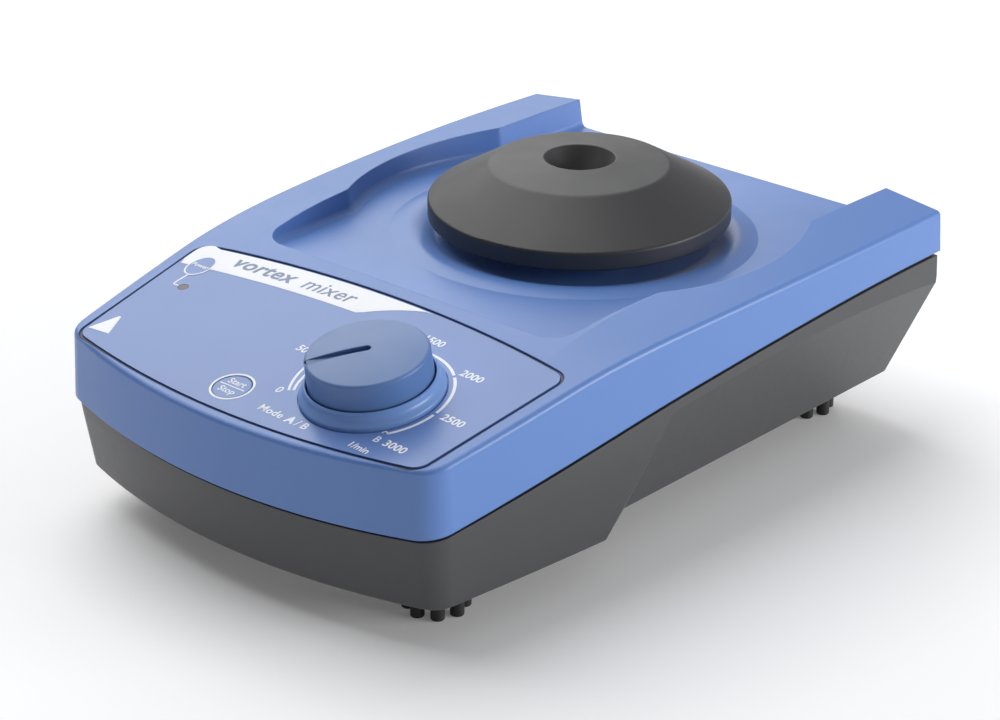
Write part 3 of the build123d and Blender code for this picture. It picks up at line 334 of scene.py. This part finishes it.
# Start and stop key: the ring is on the panel, the bar and words are on the key.
KEY_RING_R = 5.8
KEY_RING_LINE = 0.6
KEY_BAR_HALF = 4.1
KEY_BAR_LINE = 0.34
KEY_CAP = 2.15
KEY_PRINT_LIFT = 0.55
key_v = (key_centre - panel_origin).dot(along) / MM + KEY_PRINT_LIFT
key_face = (max(v.co.dot(normal) for v in nodes["start_stop_key"].data.vertices) - foil_height) / MM
on_key = {"body": "start_stop_button", "h": key_face + FIRST_INK}
printed("key_ring", [ring(key_u, key_v, KEY_RING_R), ring(key_u, key_v, KEY_RING_R - KEY_RING_LINE)])
key_bar = [(key_u - KEY_BAR_HALF, key_v), (key_u + KEY_BAR_HALF, key_v)]
printed("key_bar", [stroke(key_bar, KEY_BAR_LINE)], **on_key)
lettering("key_word_start", "Start", key_u, key_v + 1.8, KEY_CAP, weight=0.02, **on_key)
lettering("key_word_stop", "Stop", key_u, key_v - 1.9, KEY_CAP, weight=0.02, **on_key)

# Speed dial: arcs between the numbers, a doubled arc at the low end and a hook at the high end.
DIAL_IN_R, DIAL_OUT_R = 19.6, 20.4
for i, (start, end) in enumerate(((90, 51.5), (48.5, 2.5), (-0.5, -37), (165, 92))):
    printed(f"dial_arc_{i}", [band(knob_u, knob_v, DIAL_IN_R, DIAL_OUT_R, start, end)])
LOW_START, LOW_SWEEP = 210, 42
LOW_STEPS = 20
LOW_R, LOW_GROWTH = 21.2, 1.6
low_band = band(knob_u, knob_v, DIAL_IN_R, DIAL_OUT_R - 0.1, LOW_START, LOW_START - LOW_SWEEP)
printed("dial_arc_low_in", [low_band])
low_arc = []
for i in range(LOW_STEPS + 1):
    share = i / LOW_STEPS
    low_arc.append(polar(knob_u, knob_v, LOW_R + LOW_GROWTH * share, LOW_START - LOW_SWEEP * share))
printed("dial_arc_low_out", [stroke(low_arc, 0.7)])
hook = [polar(knob_u, knob_v, r, a) for r, a in ((19.2, -40.5), (18.8, -37.5), (20.4, -36.5))]
printed("dial_hook", [stroke(hook, 0.5)])
DIAL_NUMBERS = (
    ("0", 6.0, -24.7), ("500", -1.4, -8.0), ("1000", 4.6, 8.3), ("1500", 24.0, 11.9), ("2000", 43.2, 4.4),
    ("2500", 52.3, -12.8), ("3000", 47.9, -28.4),
)
for words, u, v in DIAL_NUMBERS:
    lettering("dial_" + words, words, u, v, 2.6, angle=-3, weight=0.025)
lettering("dial_mode_b", "B", 42.0, -28.2, 2.4, angle=-2, weight=0.01)
lettering("dial_unit", "1/min", 40.6, -33.1, 2.2, angle=-3, weight=0.02)
lettering("mode_word", "Mode", 11.2, -32.8, 2.5, angle=-2, weight=0.02, spacing=1.06)
lettering("mode_a", "A", 18.0, -33.1, 2.6, angle=-2, weight=0.06)
lettering("mode_b", "/ B", 22.0, -33.3, 2.5, angle=-2, weight=0.02)


# ---------------------------------------------------------------- stage, light, camera
FLOOR = 6.0
FLOOR_GLOW = 0.1
floor_mesh = bpy.data.meshes.new("floor")
floor_corners = [(-FLOOR, -FLOOR, 0), (FLOOR, -FLOOR, 0), (FLOOR, FLOOR, 0), (-FLOOR, FLOOR, 0)]
floor_mesh.from_pydata(floor_corners, [], [(0, 1, 2, 3)])
floor = bpy.data.objects.new("floor", floor_mesh)
bpy.context.scene.collection.objects.link(floor)
floor_look = surface("pale_floor", FLOOR_WHITE, 0.9, mottle=0.0, edge=0.0)
floor_shader = floor_look.node_tree.nodes["Principled BSDF"]
floor_shader.inputs["Emission Color"].default_value = (1, 1, 1, 1)
floor_shader.inputs["Emission Strength"].default_value = FLOOR_GLOW
floor_mesh.materials.append(floor_look)

# Studio walls: brightest behind the mixer and to its right, dim in front.
SKY_TOWARDS = (0.35, 0.93, 0.1)
SKY_DIM, SKY_BRIGHT = 0.03, 0.42
world = bpy.data.worlds.new("studio")
bpy.context.scene.world = world
world.use_nodes = True
sky = world.node_tree
backdrop = sky.nodes["Background"]
backdrop.inputs["Color"].default_value = (0.97, 0.98, 1.0, 1.0)
direction = sky.nodes.new("ShaderNodeTexCoord")
facing = sky.nodes.new("ShaderNodeVectorMath")
facing.operation = "DOT_PRODUCT"
facing.inputs[1].default_value = SKY_TOWARDS
strength = sky.nodes.new("ShaderNodeMapRange")
strength.inputs["From Min"].default_value = -1.0
strength.inputs["From Max"].default_value = 0.6
strength.inputs["To Min"].default_value = SKY_DIM
strength.inputs["To Max"].default_value = SKY_BRIGHT
sky.links.new(direction.outputs["Generated"], facing.inputs[0])
sky.links.new(facing.outputs["Value"], strength.inputs["Value"])
sky.links.new(strength.outputs["Result"], backdrop.inputs["Strength"])


def softbox(name, position, target, size, power):
    """Rectangular area light aimed at a point."""
    lamp = bpy.data.lights.new(name, "AREA")
    lamp.shape = "RECTANGLE"
    lamp.size, lamp.size_y = size
    lamp.energy = power
    holder = bpy.data.objects.new(name, lamp)
    bpy.context.scene.collection.objects.link(holder)
    holder.location = position
    holder.rotation_euler = (Vector(target) - Vector(position)).to_track_quat("-Z", "Y").to_euler()


softbox("overhead", (-0.75, 0.05, 1.6), (0, 0, 0.03), (1.8, 1.6), 23)
softbox("rear_left", (-1.25, 0.85, 0.85), (0, 0, 0.05), (1.4, 1.0), 8)
softbox("right_fill", (1.7, 0.9, 0.35), (0, 0, 0.03), (1.2, 0.6), 25)

CAMERA_PLACE = (0.48285, -0.544997, 0.361103)
CAMERA_DIP, CAMERA_TURN = 24.487, 41.344
camera_data = bpy.data.cameras.new("camera")
camera_data.lens = 107.887
camera_data.sensor_width = 36.0
camera_data.clip_start = 0.01
camera = bpy.data.objects.new("camera", camera_data)
bpy.context.scene.collection.objects.link(camera)
camera.location = CAMERA_PLACE
camera.rotation_euler = (math.radians(90 - CAMERA_DIP), 0, math.radians(CAMERA_TURN))
bpy.context.scene.camera = camera
bpy.context.scene.view_settings.view_transform = "Standard"
